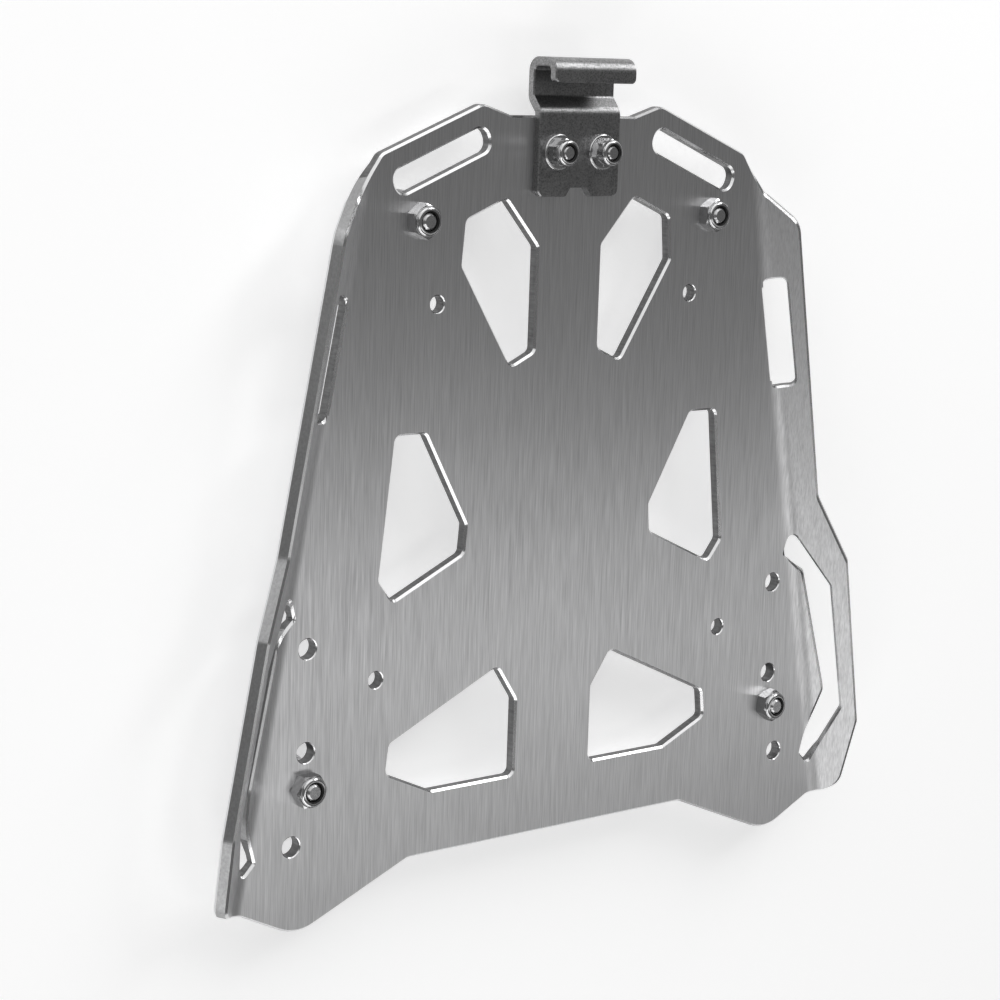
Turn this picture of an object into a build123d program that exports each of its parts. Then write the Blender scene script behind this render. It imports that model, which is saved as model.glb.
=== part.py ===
from build123d import *
import os
from math import atan2, cos, pi, radians, sin, tan

# Top case mounting plate, in millimetres. The folded sheet lies flat, nut side up (+Z), on the heads of
# its four locating studs. Z = 0 is the flat's underside, which faces the case, and the origin is midway
# between the four stud bolts. +Y points to the catch and +X to the right, seen from above.

# Sheet
sheet_thickness = 4.4
edge_chamfer = 0.7
hole_chamfer = 0.3
window_corner = 3.0

# Folds, one on each side. Flat and wing meet in a line that crosses Y = 0 at fold_half_width and leans
# outwards towards the foot end, if the round bend between them is left out.
fold_half_width = 102.6
fold_lean = 11.0
fold_angle = 45.0
fold_radius = 8.0
bend_steps = 16
tip_start = 0.05

# Outline of the flat, right-hand half, from the catch end. The shoulder and the foot corner lie beside the
# fold and are (along, out), as the wing's corners are.
top_y = 121.0
top_corner_x = 26.0
peak = (37.5, 124.7)
peak_radius = 5.0
shoulder = (112.0, -1.5)
shoulder_radius = 4.0
bottom_y = -118.2
foot_start_x = 59.4
foot_start_radius = 5.0
foot = (-133.8, -22.5)
foot_radius = 16.0

# Outline of the wing, from the catch end: each corner is (along, out). Along runs beside the fold from the
# point level with the origin. Out starts where the bend starts and follows the nut side of the sheet.
wing_start = (96.6, 5.3)
wing_start_radius = 2.0
wing_catch_corner = (85.0, 16.3)
wing_catch_radius = 8.5
wing_waist = (-14.6, 14.4)
wing_waist_radius = 6.0
wing_step = (-39.5, 22.9)
wing_step_radius = 3.0
wing_foot_corner = (-101.2, 21.4)
wing_foot_radius = 5.0
wing_end_corner = (-126.0, 12.7)
wing_end_radius = 8.0
wing_end_bend = (-127.8, 6.3)
wing_end_flat = (-127.8, 0.0)
wing_end_easing = 6.0

# Slot over the fold, and the long window with a tongue, both in (along, out)
wing_slot_along = (27.3, 67.2)
wing_slot_out = (0.7, 10.6)
wing_window = [
    (-33.7, -0.8),
    (-42.6, 6.0),
    (-87.6, 9.4),
    (-110.7, -2.0),
    (-116.8, 1.8),
    (-95.8, 16.2),
    (-47.8, 16.5),
    (-24.3, 3.9),
]
wing_window_radii = [0.8, 2.0, 4.0, 0.8, 1.6, 3.0, 3.0, 2.4]

# Windows of the flat, right-hand half: corners where the chamfer meets the face
catch_window = [(13.0, 79.5), (27.0, 95.5), (43.4, 88.6), (44.7, 73.5), (23.5, 39.8), (13.0, 44.7)]
middle_window = [(69.0, 21.7), (56.4, 21.7), (38.9, -9.6), (39.8, -19.7), (68.4, -33.0), (74.3, -25.3)]
foot_window = [(24.4, -58.0), (15.9, -70.6), (15.9, -97.6), (50.8, -97.6), (69.8, -89.0), (68.5, -78.5)]

# Strap slots beside the catch: the middle of each lies this far from its shoulder
strap_slot_step = (-23.4, -2.2)
strap_slot_length = 40.4
strap_slot_width = 9.5
strap_slot_corner = 4.3
strap_slot_fall = 22.3

# Holes for fixing the sheet to a rack. Two large ones stand in a row with the foot studs, in from the
# width of the folds, and the third stands further out.
rack_row_inset = 2.1
rack_row_x = fold_half_width - rack_row_inset
rack_foot_step = 4.9
rack_hole_diameter = 6.6
rack_holes = [(rack_row_x, -43.5), (rack_row_x, -76.8), (rack_row_x + rack_foot_step, -106.6)]
small_hole_diameter = 5.5
small_holes = [(53.7, 62.0), (74.2, -56.8)]

# Stud bolts and their lock nuts
catch_stud_x = 61.4
foot_stud_x = rack_row_x
stud_y = 88.35
stud_bolt_diameter = 6.0
stud_bolt_hole = 6.5
stud_bolt_end = 5.65
stud_bolt_tip = 1.0
stud_bolt_head_diameter = 12.0
stud_bolt_socket = 4.0
stud_bolt_socket_depth = 2.4
plate_nut_flats = 10.0
plate_nut_hex_height = 4.3
plate_nut_height = 5.6
plate_nut_collar = 9.5
plate_nut_mouth = 6.9

# Locating studs, on the underside
stud_collar_diameter = 16.0
stud_collar_height = 4.0
stud_waist_diameter = 11.0
stud_waist_height = 3.0
stud_head_diameter = 18.0
stud_head_height = 3.0
stud_easing = 0.6

# Catch bracket: a cranked strap, held by two bolts, that ends in a hook for the latch
bracket_width = 34.0
bracket_thickness = 3.0
bracket_bend = 3.0
bracket_bolt_x = 9.25
bracket_bolt_inset = 11.4
bracket_foot_margin = 14.3
bracket_foot_corner = 2.5
bracket_top_clearance = 0.3
bracket_crank_run = 4.3
bracket_crank_drop = 3.7
bracket_reach = 11.5
bracket_hook_height = 10.9
bracket_lip_length = 6.45
bracket_lip_corner = 1.8
bracket_notch_height = 2.9
bracket_notch_top = 7.0
bracket_notch_bottom = 11.0
bracket_edge_chamfer = 0.4

# Bracket bolts, flange lock nuts and washers
bracket_bolt_diameter = 5.0
bracket_bolt_hole = 5.5
bracket_bolt_end = 6.15
bracket_bolt_tip = 0.7
bracket_bolt_flats = 8.0
bracket_bolt_head = 3.5
bracket_nut_flange = 11.8
bracket_nut_flange_height = 1.2
bracket_nut_flats = 8.0
bracket_nut_hex_height = 4.9
bracket_nut_height = 6.4
bracket_nut_collar = 8.4
bracket_nut_mouth = 6.0
washer_diameter = 10.0
washer_thickness = 1.0

# Lock nuts: the nylon ring sits in a groove under the lip of the collar
thread_gap = 0.05
collar_wall = 0.75
collar_lip = 0.4
collar_round = 1.1

# Worked-out sizes of the folds
lean = radians(fold_lean)
turn = radians(fold_angle)
setback = fold_radius * tan(turn / 2)
bend_length = fold_radius * turn
outer_radius = fold_radius + sheet_thickness
beyond = 3 * (top_y - bottom_y)
centre_lap = 2 * sheet_thickness

# Planes of the fold: X runs along the fold and Y outwards, with the face's own plane at Z = 0
along_fold = Vector(-sin(lean), cos(lean), 0)
outwards = Vector(cos(lean), sin(lean), 0)
bend_start = Vector(fold_half_width, 0, sheet_thickness) - outwards * setback
bend_centre = bend_start + Vector(0, 0, fold_radius)
bend_axis = Axis(bend_centre, along_fold * -1)
flat_plane = Plane(bend_start, x_dir=along_fold, z_dir=(0, 0, -1))


def away_from_axis(angle):
    """Direction from the bend's axis to the sheet, at an angle from the start of the bend."""
    return outwards * sin(angle) - Vector(0, 0, cos(angle))


def radial_plane(angle):
    """Plane through the bend's axis: X along the fold, Y away from the axis."""
    normal = along_fold.cross(away_from_axis(angle))
    return Plane(bend_centre, x_dir=along_fold, z_dir=normal)


wing_outwards = outwards * cos(turn) + Vector(0, 0, sin(turn))
bend_finish = bend_centre + away_from_axis(turn) * fold_radius
wing_plane = Plane(
    bend_finish - wing_outwards * bend_length,
    x_dir=along_fold,
    z_dir=away_from_axis(turn),
)


def unfolded(point):
    """A point (x, y) of the flat as (along, out)."""
    local = flat_plane.to_local_coords(Vector(point[0], point[1], sheet_thickness))
    return (local.X, local.Y)


def on_flat(corner):
    """A corner (along, out) of the flat as a point of the plan, at Z = 0."""
    place = flat_plane.from_local_coords(Vector(*corner))
    return Vector(place.X, place.Y)


def rounded_outline(corners, radii):
    """A closed face with rounded corners, drawn on the plane of the unfolded sheet."""
    with BuildSketch() as outline:
        with BuildLine():
            FilletPolyline(*corners, radius=radii, close=True)
        make_face()
    return outline.sketch


def grown(face, amount):
    """An unfolded face with its edge moved outwards."""
    with BuildSketch() as result:
        add(face)
        offset(amount=amount, kind=Kind.INTERSECTION)
    return result.sketch


def between(face, out_from, out_to):
    """The stretch of an unfolded face between two distances out."""
    with BuildSketch() as stretch:
        add(face)
        with Locations((0, (out_from + out_to) / 2)):
            Rectangle(2 * beyond, out_to - out_from, mode=Mode.INTERSECT)
    return stretch.sketch


def spans(face, out):
    """Where the line at this distance out lies inside an unfolded face, from the foot end on."""
    line = Edge.make_line((-beyond, out), (beyond, out))
    crossings = line.intersect(face)
    ends = [sorted(((piece @ 0).X, (piece @ 1).X)) for piece in ShapeList(crossings).edges()]
    return sorted(ends)


def on_bend(radius, out):
    """A point of the bend's cross-section: X outwards and Y away from the nut side, from the axis."""
    angle = out / fold_radius
    return (radius * sin(angle), radius * cos(angle))


def bend_section(out, wall, rim):
    """Section of a cut or outline on the bend: wall is its span, rim the span at the sheet's faces."""
    low, low_rim = wall[0], 2 * rim[0] - wall[0]
    high, high_rim = wall[1], 2 * rim[1] - wall[1]
    inside = fold_radius + edge_chamfer
    outside = outer_radius - edge_chamfer
    with BuildSketch(radial_plane(out / fold_radius)) as section:
        with BuildLine():
            Polyline(
                (low_rim, fold_radius - edge_chamfer),
                (high_rim, fold_radius - edge_chamfer),
                (high, inside),
                (high, outside),
                (high_rim, outer_radius + edge_chamfer),
                (low_rim, outer_radius + edge_chamfer),
                (low, outside),
                (low, inside),
                close=True,
            )
        make_face()
    return section.sketch


def bend_sections(wall, rim, out_from, out_to):
    """Sections at equal steps from one distance out to another."""
    sections = []
    for step in range(bend_steps + 1):
        out = out_from + (out_to - out_from) * step / bend_steps
        sections.append(bend_section(out, spans(wall, out)[0], spans(rim, out)[0]))
    return sections


# The unfolded right-hand half of the sheet, with a lap past the middle that is trimmed off
blank = rounded_outline(
    [
        unfolded((-centre_lap, top_y)),
        unfolded((top_corner_x, top_y)),
        unfolded(peak),
        shoulder,
        wing_start,
        wing_catch_corner,
        wing_waist,
        wing_step,
        wing_foot_corner,
        wing_end_corner,
        wing_end_bend,
        wing_end_flat,
        foot,
        unfolded((foot_start_x, bottom_y)),
        unfolded((-centre_lap, bottom_y)),
    ],
    [
        0,
        window_corner,
        peak_radius,
        shoulder_radius,
        wing_start_radius,
        wing_catch_radius,
        wing_waist_radius,
        wing_step_radius,
        wing_foot_radius,
        wing_end_radius,
        wing_end_easing,
        wing_end_easing,
        foot_radius,
        foot_start_radius,
        0,
    ],
)
blank_rim = grown(blank, -edge_chamfer)
wing_slot_rim = rounded_outline(
    [
        (wing_slot_along[0], wing_slot_out[0]),
        (wing_slot_along[1], wing_slot_out[0]),
        (wing_slot_along[1], wing_slot_out[1]),
        (wing_slot_along[0], wing_slot_out[1]),
    ],
    [window_corner] * 4,
)
wing_window_rim = rounded_outline(wing_window, wing_window_radii)
wing_slot_wall = grown(wing_slot_rim, -edge_chamfer)
wing_window_wall = grown(wing_window_rim, -edge_chamfer)


def eased_prism(wall, rim, plane):
    """A prism through the sheet whose edge is chamfered at both faces, or flared where it is a cut."""
    with BuildPart() as prism:
        for depth, face in (
            (0, rim),
            (edge_chamfer, wall),
            (sheet_thickness - edge_chamfer, wall),
            (sheet_thickness, rim),
        ):
            with BuildSketch(plane.offset(depth)):
                add(face)
        loft(ruled=True)
    return prism.part


# Flat, right-hand half, up to the line where the bend starts
with BuildPart() as flat_half:
    add(eased_prism(blank, blank_rim, flat_plane))
    split(bisect_by=radial_plane(0), keep=Keep.TOP)
    split(bisect_by=Plane.YZ, keep=Keep.TOP)
    add(eased_prism(wing_window_wall, wing_window_rim, flat_plane), mode=Mode.SUBTRACT)
    for corners in (catch_window, middle_window, foot_window):
        window_rim = rounded_outline(corners, [window_corner] * len(corners))
        add(eased_prism(grown(window_rim, -edge_chamfer), window_rim, Plane.XY), mode=Mode.SUBTRACT)
    with BuildSketch() as strap_slot:
        with Locations(on_flat(shoulder) + Vector(*strap_slot_step)):
            RectangleRounded(
                strap_slot_length,
                strap_slot_width,
                strap_slot_corner,
                rotation=-strap_slot_fall,
            )
    slot_wall = grown(strap_slot.sketch, -edge_chamfer)
    add(eased_prism(slot_wall, strap_slot.sketch, Plane.XY), mode=Mode.SUBTRACT)
    holes = [(rack_hole_diameter, place) for place in rack_holes]
    holes += [(small_hole_diameter, place) for place in small_holes]
    holes += [(stud_bolt_hole, (catch_stud_x, stud_y)), (stud_bolt_hole, (foot_stud_x, -stud_y))]
    holes += [(bracket_bolt_hole, (bracket_bolt_x, top_y - bracket_bolt_inset))]
    for diameter, (x, y) in holes:
        with Locations((x, y, sheet_thickness)):
            CounterSinkHole(diameter / 2, diameter / 2 + hole_chamfer, counter_sink_angle=90)

# Bend, right-hand side: part of a ring, trimmed to the outline, with the slot and the two horns of the
# long window cut out. A cut starts a little inside its tip, where it is already wide enough.
foot_horn, catch_horn = between(wing_window_wall, -beyond, bend_length).faces().sort_by(Axis.X)
foot_horn_rim, catch_horn_rim = between(wing_window_rim, -beyond, bend_length).faces().sort_by(Axis.X)
with BuildPart() as bend:
    with BuildSketch(radial_plane(0)):
        with Locations((0, fold_radius + sheet_thickness / 2)):
            Rectangle(beyond, sheet_thickness)
    revolve(axis=bend_axis, revolution_arc=fold_angle)
    loft(bend_sections(blank, blank_rim, 0, bend_length), ruled=True, mode=Mode.INTERSECT)
    cuts = [(wing_slot_wall, wing_slot_rim), (foot_horn, foot_horn_rim), (catch_horn, catch_horn_rim)]
    for wall, rim in cuts:
        tip = max(0, wall.bounding_box().min.Y + tip_start)
        loft(bend_sections(wall, rim, tip, bend_length), ruled=True, mode=Mode.SUBTRACT)
    slot_edge = wing_slot_wall.bounding_box().min.Y + tip_start
    slot_start = bend_centre + along_fold * (wing_slot_along[0] + window_corner)
    with BuildSketch(Plane(slot_start, x_dir=outwards, z_dir=along_fold)):
        for face_radius, inwards in ((fold_radius, edge_chamfer), (outer_radius, -edge_chamfer)):
            with BuildLine():
                Polyline(
                    on_bend(face_radius, wing_slot_out[0]),
                    on_bend(face_radius + inwards, slot_edge),
                    on_bend(face_radius - inwards, slot_edge),
                    close=True,
                )
            make_face()
    extrude(amount=wing_slot_along[1] - wing_slot_along[0] - 2 * window_corner, mode=Mode.SUBTRACT)

# Wing, right-hand side, past the bend
with BuildPart() as wing:
    add(eased_prism(blank, blank_rim, wing_plane))
    split(bisect_by=radial_plane(turn), keep=Keep.BOTTOM)
    add(eased_prism(wing_slot_wall, wing_slot_rim, wing_plane), mode=Mode.SUBTRACT)
    add(eased_prism(wing_window_wall, wing_window_rim, wing_plane), mode=Mode.SUBTRACT)

with BuildPart() as base_plate:
    add(flat_half.part)
    add(bend.part)
    add(wing.part)
    mirror(about=Plane.YZ)
base_plate.part.label = "base_plate"

os.makedirs("parts", exist_ok=True)


def save(solid, name):
    """Labels a finished piece and writes its STEP file."""
    solid.label = name
    export_step(solid, f"parts/{name}.step")


save(base_plate.part, "base_plate")

# Catch bracket: its middle line in the YZ plane, from the foot end over the crank to the lip of the hook
bracket_top = sheet_thickness + bracket_thickness
bracket_bolt_y = top_y - bracket_bolt_inset
bracket_end_y = bracket_bolt_y - bracket_foot_margin
crank_turn = atan2(bracket_crank_drop, bracket_crank_run)
crank_start = top_y + bracket_top_clearance + bracket_bend * tan(crank_turn / 2)
strap_height = sheet_thickness + bracket_thickness / 2
hook_bottom = strap_height - bracket_crank_drop
hook_front = crank_start + bracket_crank_run
hook_end = hook_front + bracket_reach
with BuildPart() as catch_bracket:
    with BuildSketch(Plane.YZ):
        with BuildLine():
            FilletPolyline(
                (bracket_end_y, strap_height),
                (crank_start, strap_height),
                (hook_front, hook_bottom),
                (hook_end, hook_bottom),
                (hook_end, hook_bottom + bracket_hook_height),
                (hook_end - bracket_lip_length, hook_bottom + bracket_hook_height),
                radius=bracket_bend,
            )
        trace(line_width=bracket_thickness)
    extrude(amount=bracket_width / 2, both=True)
    fillet(catch_bracket.edges().filter_by(Axis.Z).group_by(Axis.Y)[0], bracket_foot_corner)
    fillet(catch_bracket.edges().filter_by(Axis.Z).group_by(Axis.Z)[-1], bracket_lip_corner)
    with BuildSketch(Plane.XY.offset(sheet_thickness)):
        with BuildLine():
            Polyline(
                (-bracket_notch_bottom / 2, bracket_end_y),
                (bracket_notch_bottom / 2, bracket_end_y),
                (bracket_notch_top / 2, bracket_end_y + bracket_notch_height),
                (-bracket_notch_top / 2, bracket_end_y + bracket_notch_height),
                close=True,
            )
        make_face()
    extrude(amount=bracket_thickness, mode=Mode.SUBTRACT)
    side_faces = catch_bracket.faces().sort_by(Axis.X)
    chamfer(side_faces[0].edges() + side_faces[-1].edges(), bracket_edge_chamfer)
    with Locations([(side * bracket_bolt_x, bracket_bolt_y, bracket_top) for side in (-1, 1)]):
        CounterSinkHole(
            bracket_bolt_hole / 2,
            bracket_bolt_hole / 2 + hole_chamfer,
            depth=bracket_top,
            counter_sink_angle=90,
        )
save(catch_bracket.part, "catch_bracket")


def corner_radius(flats):
    """Radius of a hexagon's corners from its width across flats."""
    return flats / 2 / cos(pi / 6)


def hexagon_blank(plane, flats, height):
    """A hexagon with both ends bevelled at 30 degrees, as on a nut or a bolt head."""
    corners = corner_radius(flats)
    bevel = (corners - flats / 2) * tan(pi / 6)
    with BuildPart() as blank_nut:
        with BuildSketch(plane):
            RegularPolygon(corners, 6)
        extrude(amount=height)
        with BuildSketch(Plane(plane.origin, x_dir=plane.x_dir, z_dir=plane.y_dir * -1)):
            with BuildLine():
                Polyline(
                    (0, 0),
                    (flats / 2, 0),
                    (corners, bevel),
                    (corners, height - bevel),
                    (flats / 2, height),
                    (0, height),
                    close=True,
                )
            make_face()
        revolve(axis=Axis(plane.origin, plane.z_dir), mode=Mode.INTERSECT)
    return blank_nut.part


def disc(plane, radius, start, end):
    """A round disc about a plane's axis, between two heights."""
    with BuildPart() as result:
        with BuildSketch(plane.offset(start)):
            Circle(radius)
        extrude(amount=end - start)
    return result.part


def lock_nut(plane, bolt, flats, hex_height, height, collar, mouth):
    """Hexagon nut whose round collar is crimped over a groove for the nylon ring."""
    with BuildPart() as nut:
        add(hexagon_blank(plane, flats, hex_height))
        add(disc(plane, collar / 2, hex_height / 2, height))
        fillet(nut.faces().sort_by(Axis.Z)[-1].edges(), collar_round)
        add(disc(plane, bolt / 2 + thread_gap, 0, height), mode=Mode.SUBTRACT)
        add(disc(plane, collar / 2 - collar_wall, hex_height, height - collar_lip), mode=Mode.SUBTRACT)
        add(disc(plane, mouth / 2, hex_height, height), mode=Mode.SUBTRACT)
    return nut.part


def flange_nut(plane, bolt, flats, hex_height, height, collar, mouth):
    """Lock nut on a wide round flange."""
    with BuildPart() as nut:
        add(disc(plane, bracket_nut_flange / 2, 0, bracket_nut_flange_height))
        fillet(nut.faces().sort_by(Axis.Z)[-1].edges(), bracket_nut_flange_height / 2)
        add(lock_nut(plane, bolt, flats, hex_height, height, collar, mouth))
        add(disc(plane, bolt / 2 + thread_gap, 0, height), mode=Mode.SUBTRACT)
    return nut.part


def nylon_ring(plane, bolt, hex_height, height, collar):
    """Ring that fills the groove of a lock nut."""
    with BuildPart() as ring:
        add(disc(plane, collar / 2 - collar_wall - thread_gap, hex_height, height - collar_lip - thread_gap))
        add(disc(plane, bolt / 2 + thread_gap, hex_height, height), mode=Mode.SUBTRACT)
    return ring.part


def seat(place, height, facing=1, spin=0.0):
    """Plane of a face at this height over (x, y), facing up or down, its X turned by spin degrees."""
    x_dir = Vector(cos(radians(spin)), sin(radians(spin)), 0)
    return Plane((place[0], place[1], height), x_dir=x_dir, z_dir=(0, 0, facing))


# Stud bolts with their studs, nuts and rings
stud_height = stud_collar_height + stud_waist_height + stud_head_height
stud_places = {
    "upper_left": (-catch_stud_x, stud_y),
    "upper_right": (catch_stud_x, stud_y),
    "lower_left": (-foot_stud_x, -stud_y),
    "lower_right": (foot_stud_x, -stud_y),
}
plate_nut_spins = {"upper_left": 35.0, "upper_right": 30.0, "lower_left": 0.0, "lower_right": 22.0}
plate_nut_sizes = (plate_nut_hex_height, plate_nut_height, plate_nut_collar)
for name, place in stud_places.items():
    underside = seat(place, 0, facing=-1)
    with BuildPart() as stud:
        add(disc(underside, stud_collar_diameter / 2, 0, stud_collar_height))
        add(disc(underside, stud_waist_diameter / 2, 0, stud_height))
        add(disc(underside, stud_head_diameter / 2, stud_height - stud_head_height, stud_height))
        rims = stud.edges().filter_by(GeomType.CIRCLE)
        chamfer(rims.filter_by(lambda rim: rim.radius > stud_waist_diameter / 2), stud_easing)
        with Locations(underside.offset(stud_height)):
            CounterSinkHole(
                stud_bolt_hole / 2,
                stud_bolt_head_diameter / 2 + thread_gap,
                depth=stud_height,
                counter_sink_angle=90,
            )
    save(stud.part, f"locating_stud_{name}")

    nut_seat = seat(place, sheet_thickness, spin=plate_nut_spins[name])
    head_drop = (stud_bolt_head_diameter - stud_bolt_diameter) / 2
    with BuildPart() as stud_bolt:
        with BuildSketch(Plane((place[0], place[1], -stud_height), x_dir=(1, 0, 0), z_dir=(0, -1, 0))):
            with BuildLine():
                Polyline(
                    (0, 0),
                    (stud_bolt_head_diameter / 2, 0),
                    (stud_bolt_diameter / 2, head_drop),
                    (stud_bolt_diameter / 2, stud_height + sheet_thickness + stud_bolt_end - stud_bolt_tip),
                    (stud_bolt_diameter / 2 - stud_bolt_tip, stud_height + sheet_thickness + stud_bolt_end),
                    (0, stud_height + sheet_thickness + stud_bolt_end),
                    close=True,
                )
            make_face()
        revolve(axis=Axis((place[0], place[1], 0), (0, 0, 1)))
        with BuildSketch(Plane((place[0], place[1], -stud_height))):
            RegularPolygon(corner_radius(stud_bolt_socket), 6)
        extrude(amount=stud_bolt_socket_depth, mode=Mode.SUBTRACT)
    save(stud_bolt.part, f"plate_bolt_{name}")
    nut = lock_nut(nut_seat, stud_bolt_diameter, plate_nut_flats, *plate_nut_sizes, plate_nut_mouth)
    save(nut, f"plate_nut_{name}")
    save(nylon_ring(nut_seat, stud_bolt_diameter, *plate_nut_sizes), f"plate_ring_{name}")

# Bracket bolts with their washers, nuts and rings
bracket_nut_spins = {"left": 36.0, "right": 20.0}
bracket_nut_sizes = (bracket_nut_hex_height, bracket_nut_height, bracket_nut_collar)
bracket_nut_shape = (bracket_nut_flats, *bracket_nut_sizes, bracket_nut_mouth)
for name, side in (("left", -1), ("right", 1)):
    place = (side * bracket_bolt_x, bracket_bolt_y)
    underside = seat(place, 0, facing=-1)
    with BuildPart() as washer:
        add(disc(underside, washer_diameter / 2, 0, washer_thickness))
        add(disc(underside, bracket_bolt_hole / 2, 0, washer_thickness), mode=Mode.SUBTRACT)
    save(washer.part, f"bracket_washer_{name}")

    shank = washer_thickness + bracket_top + bracket_bolt_end
    under_head = seat(place, -washer_thickness)
    with BuildPart() as bracket_bolt:
        add(disc(under_head, bracket_bolt_diameter / 2, 0, shank))
        chamfer(bracket_bolt.faces().sort_by(Axis.Z)[-1].edges(), bracket_bolt_tip)
        add(hexagon_blank(under_head.offset(-bracket_bolt_head), bracket_bolt_flats, bracket_bolt_head))
    save(bracket_bolt.part, f"bracket_bolt_{name}")

    nut_seat = seat(place, bracket_top, spin=bracket_nut_spins[name])
    nut = flange_nut(nut_seat, bracket_bolt_diameter, *bracket_nut_shape)
    save(nut, f"bracket_nut_{name}")
    save(nylon_ring(nut_seat, bracket_bolt_diameter, *bracket_nut_sizes), f"bracket_ring_{name}")
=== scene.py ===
from math import cos, pi, radians, sin, tan
import bpy
import numpy as np
from mathutils import Matrix, Vector


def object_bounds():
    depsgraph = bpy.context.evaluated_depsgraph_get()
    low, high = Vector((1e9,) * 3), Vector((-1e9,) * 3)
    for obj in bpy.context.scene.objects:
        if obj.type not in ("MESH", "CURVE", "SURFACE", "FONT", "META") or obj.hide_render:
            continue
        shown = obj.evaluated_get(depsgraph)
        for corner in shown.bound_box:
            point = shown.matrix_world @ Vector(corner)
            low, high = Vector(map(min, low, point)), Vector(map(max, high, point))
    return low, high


# Gives the folded top case plate, its bracket and its fasteners their materials, sets them on a pale floor
# and lights them. Lengths are in metres and +Z is up, as in the part.
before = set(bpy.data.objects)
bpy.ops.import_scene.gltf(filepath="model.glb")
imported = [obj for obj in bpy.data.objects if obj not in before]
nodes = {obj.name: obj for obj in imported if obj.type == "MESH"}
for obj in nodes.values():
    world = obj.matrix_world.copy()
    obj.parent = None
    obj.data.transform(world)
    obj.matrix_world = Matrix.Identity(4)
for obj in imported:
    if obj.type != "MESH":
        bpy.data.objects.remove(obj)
cad_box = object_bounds()

scene = bpy.context.scene
scene.view_settings.view_transform = "Standard"

# The folds of the sheet, as in the part: where they are, how they lean, and how far they turn
sheet_thickness = 0.0044
fold_half_width = 0.1026
fold_lean = radians(11.0)
fold_angle = radians(45.0)
fold_radius = 0.008

# How the sheet's polygons are told apart, by cosines: a broad face lies in line with the sheet, a chamfer
# is halfway to it, and a cut wall that looks up at least this much is the rim of a wing, painted lighter as
# the lit side of the walls, while the other walls are painted darker as shade
broad_face_match = 0.985
chamfer_match = 0.3
rim_rise = 0.25
on_face, on_chamfer, on_painted_shade_wall, on_painted_light_rim = range(4)

# Floor, room and the faint blue of bare metal
floor_reach = 6.0
floor_tone = (0.86, 0.86, 0.86, 1)
floor_glow = 0.42
white = (1, 1, 1, 1)
room_level = 0.14
blue_lift = 1.008

# Camera at the photograph's viewing angle, rolled as the photograph shows the plate
camera_place = Vector((-0.5395, 0.1424, 0.6429))
camera_forward = Vector((0.6171, -0.1745, -0.7673)).normalized()
camera_right_hint = Vector((0.7824, 0.0319, 0.622))
camera_lens = 92.11
camera_sensor_width = 36.0
camera_nearest = 0.05
camera_farthest = 30.0


class Graph:
    """The nodes of one material, with short ways to add the ones used here."""

    def __init__(self, name, **settings):
        self.material = bpy.data.materials.new(name)
        self.material.use_nodes = True
        self.tree = self.material.node_tree
        self.shader = self.tree.nodes["Principled BSDF"]
        self.place = self.node("TexCoord").outputs["Object"]
        for key, value in settings.items():
            self.shader.inputs[key.replace("_", " ")].default_value = value

    def node(self, kind, **settings):
        made = self.tree.nodes.new("ShaderNode" + kind)
        for key, value in settings.items():
            setattr(made, key, value)
        return made

    def link(self, source, target):
        self.tree.links.new(source, target)

    def noise(self, per_metre, detail=2.0, roughness=0.5, distortion=0.0):
        """Noise with its own number of waves per metre along X, Y and Z."""
        stretched = self.node("VectorMath", operation="MULTIPLY")
        stretched.inputs[1].default_value = per_metre
        self.link(self.place, stretched.inputs[0])
        texture = self.node("TexNoise")
        texture.inputs["Scale"].default_value = 1.0
        texture.inputs["Detail"].default_value = detail
        texture.inputs["Roughness"].default_value = roughness
        texture.inputs["Distortion"].default_value = distortion
        self.link(stretched.outputs["Vector"], texture.inputs["Vector"])
        return texture.outputs["Fac"]

    def spread(self, value, span, to=(0, 1)):
        """Takes the values in a span to another span, and holds those beyond it at its ends."""
        made = self.node("MapRange")
        for key, number in zip(("From Min", "From Max", "To Min", "To Max"), (*span, *to)):
            made.inputs[key].default_value = number
        self.link(value, made.inputs["Value"])
        return made.outputs["Result"]

    def combine(self, operation, a, b):
        made = self.node("Math", operation=operation)
        for socket, value in zip(made.inputs, (a, b)):
            if isinstance(value, (int, float)):
                socket.default_value = value
            else:
                self.link(value, socket)
        return made.outputs["Value"]

    def mix(self, *weighted):
        """Weighted sum of several values."""
        total = None
        for value, weight in weighted:
            part = self.combine("MULTIPLY", value, weight)
            total = part if total is None else self.combine("ADD", total, part)
        return total

    def tint(self, value, dark, light):
        """Grey of the surface, from dark where the value is 0 to light where it is 1."""
        ramp = self.node("Mix", data_type="RGBA")
        for key, tone in (("A", dark), ("B", light)):
            ramp.inputs[key].default_value = (tone, tone, tone * blue_lift, 1)
        self.link(value, ramp.inputs["Factor"])
        self.link(ramp.outputs["Result"], self.shader.inputs["Base Color"])

    def gloss(self, value, span, to):
        """Roughness of the surface, which goes from one end of a span to the other with the value."""
        self.link(self.spread(value, span, to), self.shader.inputs["Roughness"])

    def tangent(self, *direction):
        made = self.node("CombineXYZ")
        for axis, value in zip("XYZ", direction):
            made.inputs[axis].default_value = value
        self.link(made.outputs["Vector"], self.shader.inputs["Tangent"])

    def bump(self, height, strength, distance):
        made = self.node("Bump")
        made.inputs["Strength"].default_value = strength
        made.inputs["Distance"].default_value = distance
        self.link(height, made.inputs["Height"])
        self.link(made.outputs["Normal"], self.shader.inputs["Normal"])


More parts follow.
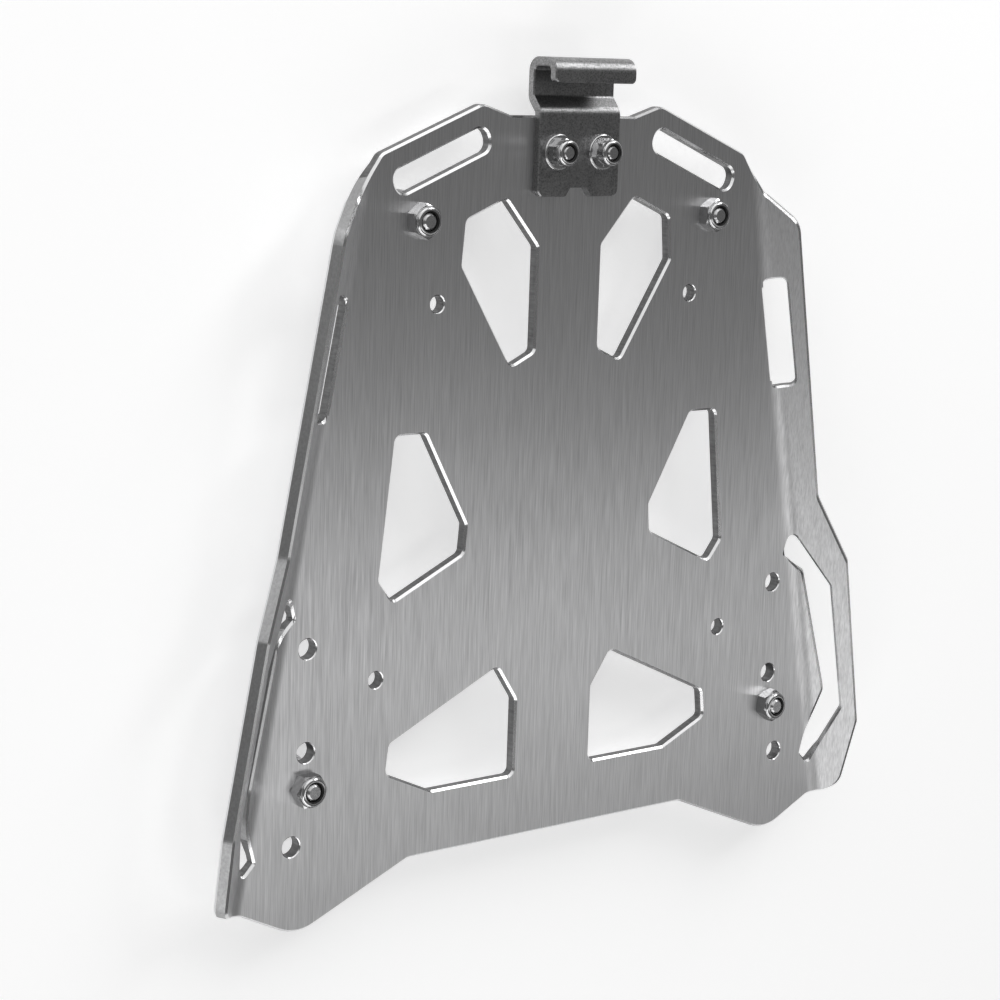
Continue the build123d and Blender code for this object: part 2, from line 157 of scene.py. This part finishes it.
def brushed_sheet():
    """Aluminium brushed along Y: fine scratches, some longer ones, and a faint cloudiness."""
    g = Graph("brushed_sheet", Metallic=1.0, Anisotropic=0.8)
    hair = g.noise((2900, 70, 2900), detail=2, roughness=0.6)
    long_hair = g.noise((1500, 26, 1500), detail=2, roughness=0.6)
    cloud = g.noise((17, 11, 17), detail=3)
    grain = g.mix((hair, 0.68), (long_hair, 0.32))
    shade = g.mix((g.spread(grain, (0.34, 0.66)), 0.88), (g.spread(cloud, (0.35, 0.65)), 0.12))
    g.tint(shade, dark=0.62, light=0.86)
    g.gloss(grain, span=(0.36, 0.64), to=(0.42, 0.35))
    g.tangent(1, 0, 0)
    g.bump(grain, strength=0.12, distance=0.00003)
    return g.material


def eased_edge():
    """The bright chamfers along the sheet's edges, with fine lines of the cutter."""
    g = Graph("eased_edge", Metallic=1.0)
    marks = g.noise((420, 420, 2600), detail=3, roughness=0.6)
    patch = g.noise((70, 70, 70), detail=2)
    shade = g.mix((g.spread(marks, (0.3, 0.7)), 0.6), (g.spread(patch, (0.3, 0.7)), 0.4))
    g.tint(shade, dark=0.62, light=0.74)
    g.gloss(patch, span=(0.3, 0.7), to=(0.26, 0.21))
    g.bump(marks, strength=0.02, distance=0.00002)
    return g.material


def cut_wall_painted_shade():
    """The cut walls of the windows, holes and outline: duller, lined through the thickness, and darker
    partly as the cut's own tone and partly as painted shade, a dark base colour that stands in for dark
    surroundings reflected in the walls.
    """
    g = Graph("cut_wall_painted_shade", Metallic=1.0)
    lines = g.noise((1500, 1500, 130), detail=3, roughness=0.65)
    zone = g.noise((90, 90, 600), detail=2)
    shade = g.mix((g.spread(lines, (0.3, 0.7)), 0.6), (g.spread(zone, (0.3, 0.7)), 0.4))
    g.tint(shade, dark=0.1, light=0.22)
    g.gloss(lines, span=(0.3, 0.7), to=(0.46, 0.34))
    g.bump(lines, strength=0.25, distance=0.00004)
    return g.material


def outer_rim_painted_light():
    """The cut rim that looks up along the wings, with a close speckle: its base colour, lighter than the
    other walls, is painted light, the lit side of the same cut.
    """
    g = Graph("outer_rim_painted_light", Metallic=1.0)
    speckle = g.noise((1500, 900, 1500), detail=3, roughness=0.7)
    zone = g.noise((40, 40, 40), detail=2)
    shade = g.mix((g.spread(speckle, (0.36, 0.64)), 0.75), (g.spread(zone, (0.35, 0.65)), 0.25))
    g.tint(shade, dark=0.32, light=0.44)
    g.gloss(speckle, span=(0.35, 0.65), to=(0.44, 0.38))
    g.bump(speckle, strength=0.1, distance=0.00003)
    return g.material


def satin_bracket():
    """Darker blasted steel of the bracket, with a close speckle and a few faint rubs."""
    g = Graph("satin_bracket", Metallic=1.0)
    speckle = g.noise((1700, 1700, 1700), detail=3, roughness=0.7)
    streak = g.noise((1300, 90, 1300), detail=3)
    rub = g.noise((75, 75, 75), detail=3, distortion=0.6)
    wear = g.mix((speckle, 0.72), (streak, 0.1), (rub, 0.18))
    g.tint(g.spread(wear, (0.34, 0.66)), dark=0.12, light=0.4)
    g.gloss(wear, span=(0.36, 0.64), to=(0.4, 0.31))
    g.bump(speckle, strength=0.35, distance=0.00004)
    return g.material


def turned_steel(name, dark, light, dull, bright):
    """Nuts, bolts, washers and studs: steel with turning marks and small stains, from dull to bright."""
    g = Graph(name, Metallic=1.0)
    stain = g.noise((380, 380, 380), detail=4, roughness=0.65)
    turning = g.noise((1500, 1500, 4000), detail=2)
    shade = g.mix((stain, 0.7), (turning, 0.3))
    g.tint(g.spread(shade, (0.25, 0.75)), dark, light)
    g.gloss(stain, span=(0.25, 0.75), to=(dull, bright))
    g.bump(turning, strength=0.15, distance=0.00003)
    return g.material


def nylon():
    """Dull black nylon of the locking rings."""
    g = Graph("nylon", Roughness=0.5)
    pores = g.noise((2500, 2500, 2500), detail=3)
    g.tint(g.spread(pores, (0.3, 0.7)), dark=0.006, light=0.018)
    g.bump(pores, strength=0.3, distance=0.00004)
    return g.material


def pale_floor():
    """Matt floor that keeps the shadow, and shows white to the camera and in reflections."""
    g = Graph("floor_pale", Roughness=0.9, Base_Color=floor_tone, Emission_Color=white)
    paths = g.node("LightPath")
    seen = g.combine("MAXIMUM", paths.outputs["Is Camera Ray"], paths.outputs["Is Glossy Ray"])
    seen = g.combine("MAXIMUM", seen, paths.outputs["Is Transmission Ray"])
    g.link(g.combine("MULTIPLY", seen, floor_glow), g.shader.inputs["Emission Strength"])
    return g.material


def polygon_vectors(mesh, key):
    """One vector for each polygon of a mesh, such as its normal or its centre."""
    values = np.zeros(len(mesh.polygons) * 3)
    mesh.polygons.foreach_get(key, values)
    return values.reshape(-1, 3)


def sheet_zones(mesh):
    """The material slot of each polygon, from how it stands to the flat, bend or wing that it is part of."""
    normals = polygon_vectors(mesh, "normal")
    centres = polygon_vectors(mesh, "center")
    sides = np.where(centres[:, 0] < 0, -1.0, 1.0)
    outwards = np.stack(
        (sides * cos(fold_lean), np.full_like(sides, sin(fold_lean)), np.zeros_like(sides)), axis=1
    )
    setback = fold_radius * tan(fold_angle / 2)
    bend_centre = np.stack(
        (
            sides * (fold_half_width - setback * cos(fold_lean)),
            np.full_like(sides, -setback * sin(fold_lean)),
            np.full_like(sides, sheet_thickness + fold_radius),
        ),
        axis=1,
    )
    arm = centres - bend_centre
    turn = np.clip(np.arctan2((arm * outwards).sum(axis=1), -arm[:, 2]), 0, fold_angle)
    sheet_face = -np.sin(turn)[:, None] * outwards
    sheet_face[:, 2] += np.cos(turn)
    match = np.abs((normals * sheet_face).sum(axis=1))
    # Walls that look up get the material painted lighter (painted light), the other walls the one painted
    # darker (painted shade)
    walls = np.where(normals[:, 2] > rim_rise, on_painted_light_rim, on_painted_shade_wall)
    zones = np.where(match > broad_face_match, on_face, np.where(match > chamfer_match, on_chamfer, walls))
    return zones.astype(np.int32)


def dress(name, *materials):
    """Gives a node of the part its materials."""
    mesh = nodes[name].data
    mesh.materials.clear()
    for material in materials:
        mesh.materials.append(material)


# Sheet, with its materials in the order of the zones (walls painted darker as shade, rim painted lighter as
# light), and bracket
dress("base_plate", brushed_sheet(), eased_edge(), cut_wall_painted_shade(), outer_rim_painted_light())
plate_mesh = nodes["base_plate"].data
plate_mesh.polygons.foreach_set("material_index", sheet_zones(plate_mesh))
plate_mesh.update()
dress("catch_bracket", satin_bracket())

# Fasteners and studs, by a word in their names
bolt_steel = turned_steel("bolt_steel", dark=0.36, light=0.62, dull=0.31, bright=0.22)
fastener_materials = {
    "_nut_": turned_steel("nut_steel", dark=0.46, light=0.7, dull=0.21, bright=0.12),
    "_bolt_": bolt_steel,
    "_washer_": bolt_steel,
    "_ring_": nylon(),
    "locating_stud_": turned_steel("stud_steel", dark=0.45, light=0.7, dull=0.35, bright=0.26),
}
for name in nodes:
    for word, material in fastener_materials.items():
        if word in name:
            dress(name, material)

# Floor under the heads of the studs
floor_height = cad_box[0].z
floor_corners = [
    (-floor_reach, -floor_reach, floor_height),
    (floor_reach, -floor_reach, floor_height),
    (floor_reach, floor_reach, floor_height),
    (-floor_reach, floor_reach, floor_height),
]
floor_mesh = bpy.data.meshes.new("floor")
floor_mesh.from_pydata(floor_corners, [], [(0, 1, 2, 3)])
floor_mesh.materials.append(pale_floor())
floor = bpy.data.objects.new("floor", floor_mesh)
scene.collection.objects.link(floor)


def stand(thing, place, right, up, back):
    """Puts a camera or a light in the scene, with its own X, Y and Z along these directions."""
    scene.collection.objects.link(thing)
    thing.matrix_world = Matrix.Translation(place) @ Matrix((right, up, back)).transposed().to_4x4()


camera_data = bpy.data.cameras.new("camera")
camera_data.lens = camera_lens
camera_data.sensor_width = camera_sensor_width
camera_data.clip_start = camera_nearest
camera_data.clip_end = camera_farthest
camera = bpy.data.objects.new("camera", camera_data)
camera_sideways = camera_right_hint.dot(camera_forward)
camera_right = (camera_right_hint - camera_forward * camera_sideways).normalized()
stand(camera, camera_place, camera_right, camera_right.cross(camera_forward), -camera_forward)
scene.camera = camera

# A dim even room
world = bpy.data.worlds.new("studio")
scene.world = world
world.use_nodes = True
room = world.node_tree.nodes["Background"].inputs
room["Color"].default_value = white
room["Strength"].default_value = room_level


def softbox(name, direction, distance, level, width, height, along=(0, 0, 1)):
    """A soft light that faces the plate: height runs along a direction, level is the light that it gives."""
    facing = Vector(direction).normalized()
    across = Vector(along).cross(facing).normalized()
    data = bpy.data.lights.new(name, "AREA")
    data.shape = "RECTANGLE"
    data.size = width
    data.size_y = height
    data.energy = level * (pi * distance) ** 2
    stand(bpy.data.objects.new(name, data), facing * distance, across, facing.cross(across), facing)


# Wide boxes behind the catch end, for the nuts, the chamfers and the bracket's bend
softbox("key", direction=(-0.3, 0.78, 0.55), distance=1.6, level=0.5, width=2.5, height=1.7)
softbox("rear", direction=(0.6, 0.66, 0.46), distance=1.5, level=0.25, width=0.35, height=0.9)
softbox("back", direction=(0.05, 0.93, 0.33), distance=1.5, level=0.1, width=1.8, height=0.6)

# Boxes past the foot end and at the side, for the wings
softbox("fill", direction=(-0.3, -0.9, 0.3), distance=1.6, level=0.3, width=2.0, height=0.7)
softbox("low_fill", direction=(-0.4, -0.8, 0.44), distance=1.6, level=0.04, width=1.2, height=0.6)
softbox(
    "side",
    direction=(-0.6, -0.53, 0.59),
    distance=1.5,
    level=0.057,
    width=0.3,
    height=0.6,
    along=(0.65, 0, 0.68),
)

# Narrow strips across the grain, which brighten the flat towards its foot end
softbox(
    "strip_middle",
    direction=(0.45, -0.24, 0.86),
    distance=1.5,
    level=0.029,
    width=0.22,
    height=1.3,
    along=(0.86, 0, -0.45),
)
softbox(
    "strip_foot",
    direction=(0.1, -0.36, 0.93),
    distance=1.5,
    level=0.044,
    width=0.24,
    height=0.8,
    along=(0.98, 0, -0.1),
)
